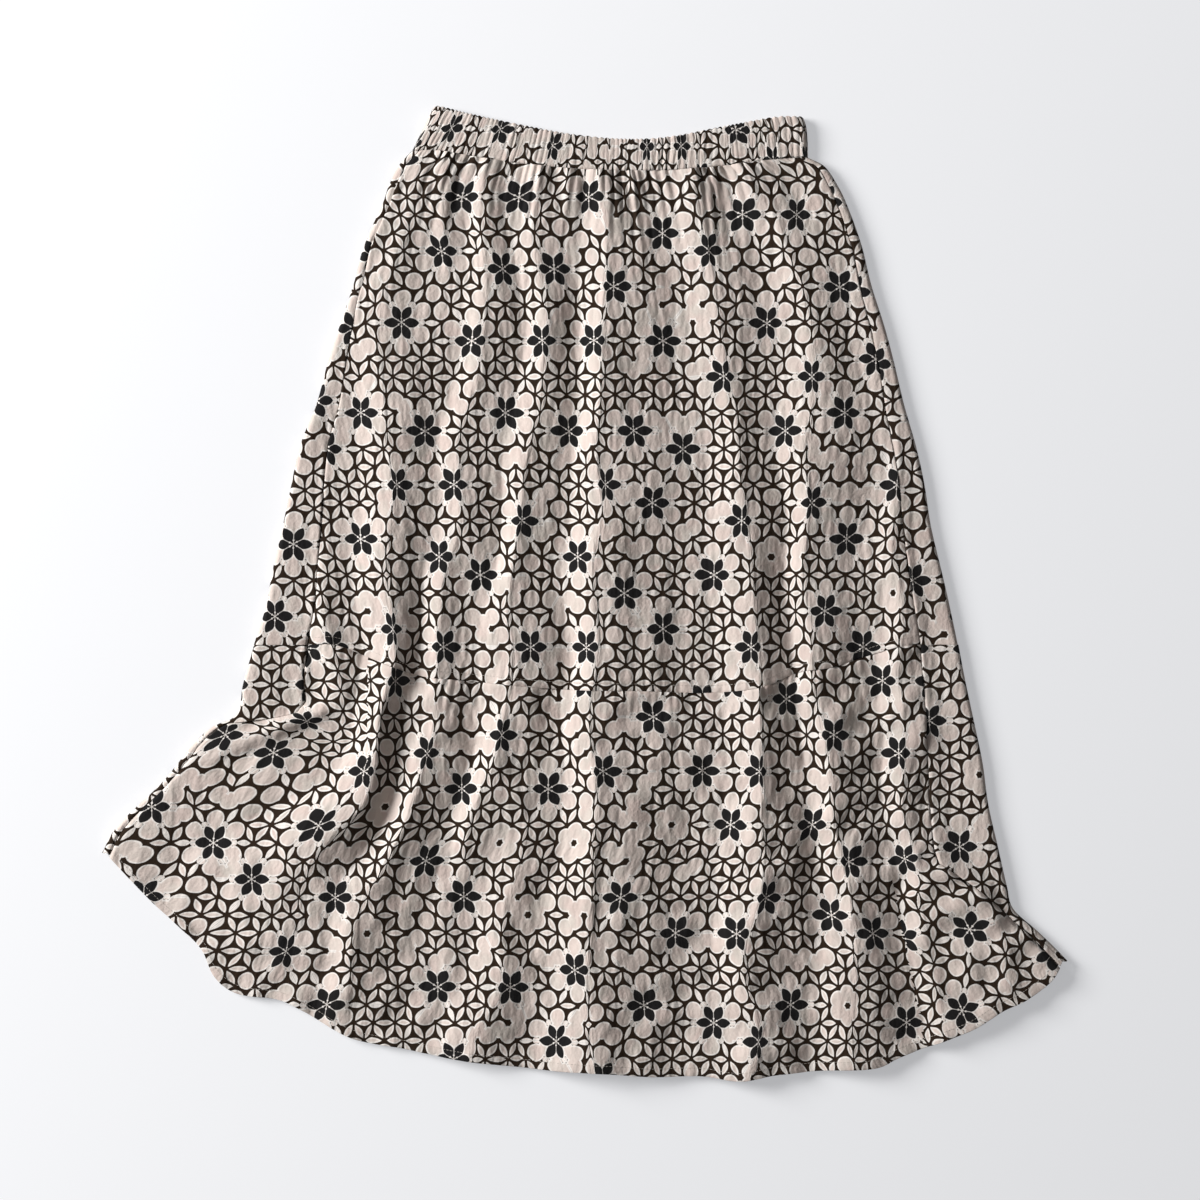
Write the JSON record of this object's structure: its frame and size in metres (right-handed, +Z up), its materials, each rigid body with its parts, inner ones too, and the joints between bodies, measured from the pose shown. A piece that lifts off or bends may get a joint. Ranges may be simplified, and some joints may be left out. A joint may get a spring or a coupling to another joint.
{
  "type": "a-line skirt",
  "caption": "Midi skirt with a gathered elastic waist and one tier seam, laid flat on its back with its lengthwise folds and one corner of the hem flicked out.",
  "frame": {"origin": "centre of the skirt's footprint, on the surface that it lies on", "axes": "+Y from hem to waist, +X to the right as seen from above, +Z up, away from the surface"},
  "size_m": [0.812, 0.8194, 0.0202],
  "materials": {
    "upper_cloth": "crinkled cotton, cream with a black lattice and flower print",
    "lower_cloth": "crinkled cotton, cream with a black lattice and flower print",
    "casing_cloth": "the same cotton, tightly gathered over elastic"
  },
  "bodies": {
    "root": {"waistband": "casing_cloth", "front_upper": "upper_cloth", "back_upper": "upper_cloth", "front_lower": "lower_cloth", "back_lower": "lower_cloth"}
  },
  "joints": []
}
